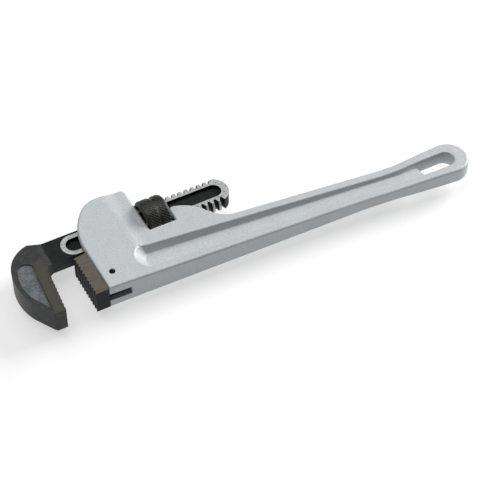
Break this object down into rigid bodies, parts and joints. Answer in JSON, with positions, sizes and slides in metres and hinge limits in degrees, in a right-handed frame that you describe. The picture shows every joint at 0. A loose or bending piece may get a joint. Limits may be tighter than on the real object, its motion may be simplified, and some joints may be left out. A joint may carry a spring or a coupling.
{
  "type": "pipe wrench",
  "caption": "Straight pipe wrench: flanged cast handle with hanging eye, sliding toothed hook jaw on a threaded shank, knurled ring nut and a pinned toothed heel jaw.",
  "frame": {"origin": "centre of the jaw mouth in the middle plane of the tool, where the axis of a gripped pipe passes", "axes": "+X along the shank and handle towards the hanging eye, +Y from the heel jaw's lower end towards the open side of the nut window, +Z square to the flat side, along a gripped pipe"},
  "size_m": [0.3522, 0.0993, 0.0324],
  "materials": {
    "cast_body": "light grey fine textured coating on a casting",
    "hook_steel": "dark forged skin, ground land and rims",
    "heel_steel": "hardened, ground sides",
    "nut_steel": "black oxide, fine knurl",
    "pin_steel": "plain steel",
    "spring_steel": "plain spring steel"
  },
  "bodies": {
    "handle_body": {"handle": "cast_body", "heel_jaw": "heel_steel", "heel_jaw_pin": "pin_steel", "flat_spring": "spring_steel", "spring_rivet": "pin_steel", "coil_spring": "spring_steel"},
    "nut_body": {"adjusting_nut": "nut_steel"},
    "hook_body": {"hook_jaw": "hook_steel"}
  },
  "joints": [
    {"name": "nut_spin", "type": "hinge", "parent": "handle_body", "child": "nut_body", "pos_m": [0.0812, 0.0333, 0], "axis": [1, 0, 0], "range_deg": [-1385, 2781]},
    {"name": "jaw_slide", "type": "slide", "parent": "handle_body", "child": "hook_body", "axis": [1, 0, 0], "range_m": [-0.0392, 0.0192]}
  ],
  "couplings": [
    {"joint": "nut_spin", "follows": "jaw_slide", "rad_per_m": -1236.8}
  ]
}
